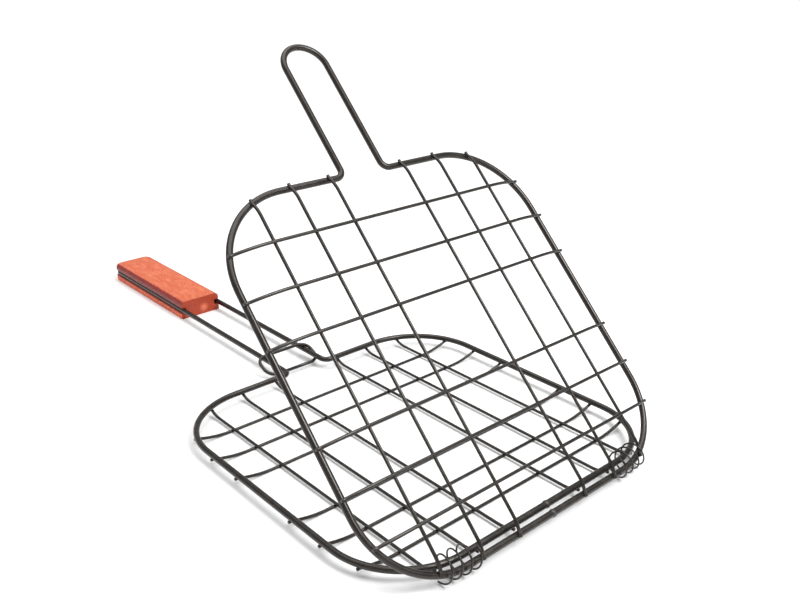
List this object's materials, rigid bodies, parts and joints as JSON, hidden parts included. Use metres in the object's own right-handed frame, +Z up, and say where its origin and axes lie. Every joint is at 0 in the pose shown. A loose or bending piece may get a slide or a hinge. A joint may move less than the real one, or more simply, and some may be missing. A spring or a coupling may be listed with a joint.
{
  "type": "grill basket",
  "caption": "Hinged square wire basket that holds food flat over a fire, with a neck, a sliding lock ring and a long grooved wooden grip; it stands with its lid half open.",
  "frame": {"origin": "middle of the whole object's footprint, on the surface it stands on", "axes": "+Y from the hinge to the grip, +X along the hinge, +Z up"},
  "size_m": [0.3044, 0.6821, 0.3099],
  "materials": {
    "painted_steel": "satin black non-stick coat",
    "stained_wood": "orange-red stain, satin"
  },
  "bodies": {
    "lower_half": {"lower_frame": "painted_steel", "lower_long_wire_1": "painted_steel", "lower_long_wire_2": "painted_steel", "lower_long_wire_3": "painted_steel", "lower_long_wire_4": "painted_steel", "lower_long_wire_5": "painted_steel", "lower_long_wire_6": "painted_steel", "lower_cross_wire_1": "painted_steel", "lower_cross_wire_2": "painted_steel", "lower_cross_wire_3": "painted_steel", "lower_cross_wire_4": "painted_steel", "lower_cross_wire_5": "painted_steel", "lower_cross_wire_6": "painted_steel", "grip": "stained_wood"},
    "lid": {"lid_frame": "painted_steel", "lid_long_wire_1": "painted_steel", "lid_long_wire_2": "painted_steel", "lid_long_wire_3": "painted_steel", "lid_long_wire_4": "painted_steel", "lid_long_wire_5": "painted_steel", "lid_long_wire_6": "painted_steel", "lid_cross_wire_1": "painted_steel", "lid_cross_wire_2": "painted_steel", "lid_cross_wire_3": "painted_steel", "lid_cross_wire_4": "painted_steel", "lid_cross_wire_5": "painted_steel", "lid_cross_wire_6": "painted_steel"},
    "coil_left": {"hinge_coil_left": "painted_steel"},
    "coil_right": {"hinge_coil_right": "painted_steel"},
    "ring": {"lock_ring": "painted_steel"}
  },
  "joints": [
    {"name": "lid_hinge", "type": "hinge", "parent": "lower_half", "child": "lid", "pos_m": [0, -0.32453, 0.0096], "axis": [1, 0, 0], "range_deg": [-45.1, 54.2]},
    {"name": "coil_left_turn", "type": "hinge", "parent": "lower_half", "child": "coil_left", "pos_m": [0, -0.32453, 0.0096], "axis": [1, 0, 0], "range_deg": [-34.03, 40.85]},
    {"name": "coil_right_turn", "type": "hinge", "parent": "lower_half", "child": "coil_right", "pos_m": [0, -0.32453, 0.0096], "axis": [1, 0, 0], "range_deg": [-34.03, 40.85]},
    {"name": "ring_slide", "type": "slide", "parent": "lower_half", "child": "ring", "axis": [0, 1, 0], "range_m": [0, 0.16]}
  ],
  "couplings": [
    {"joint": "coil_left_turn", "follows": "lid_hinge", "ratio": 0.75},
    {"joint": "coil_right_turn", "follows": "lid_hinge", "ratio": 0.75}
  ]
}
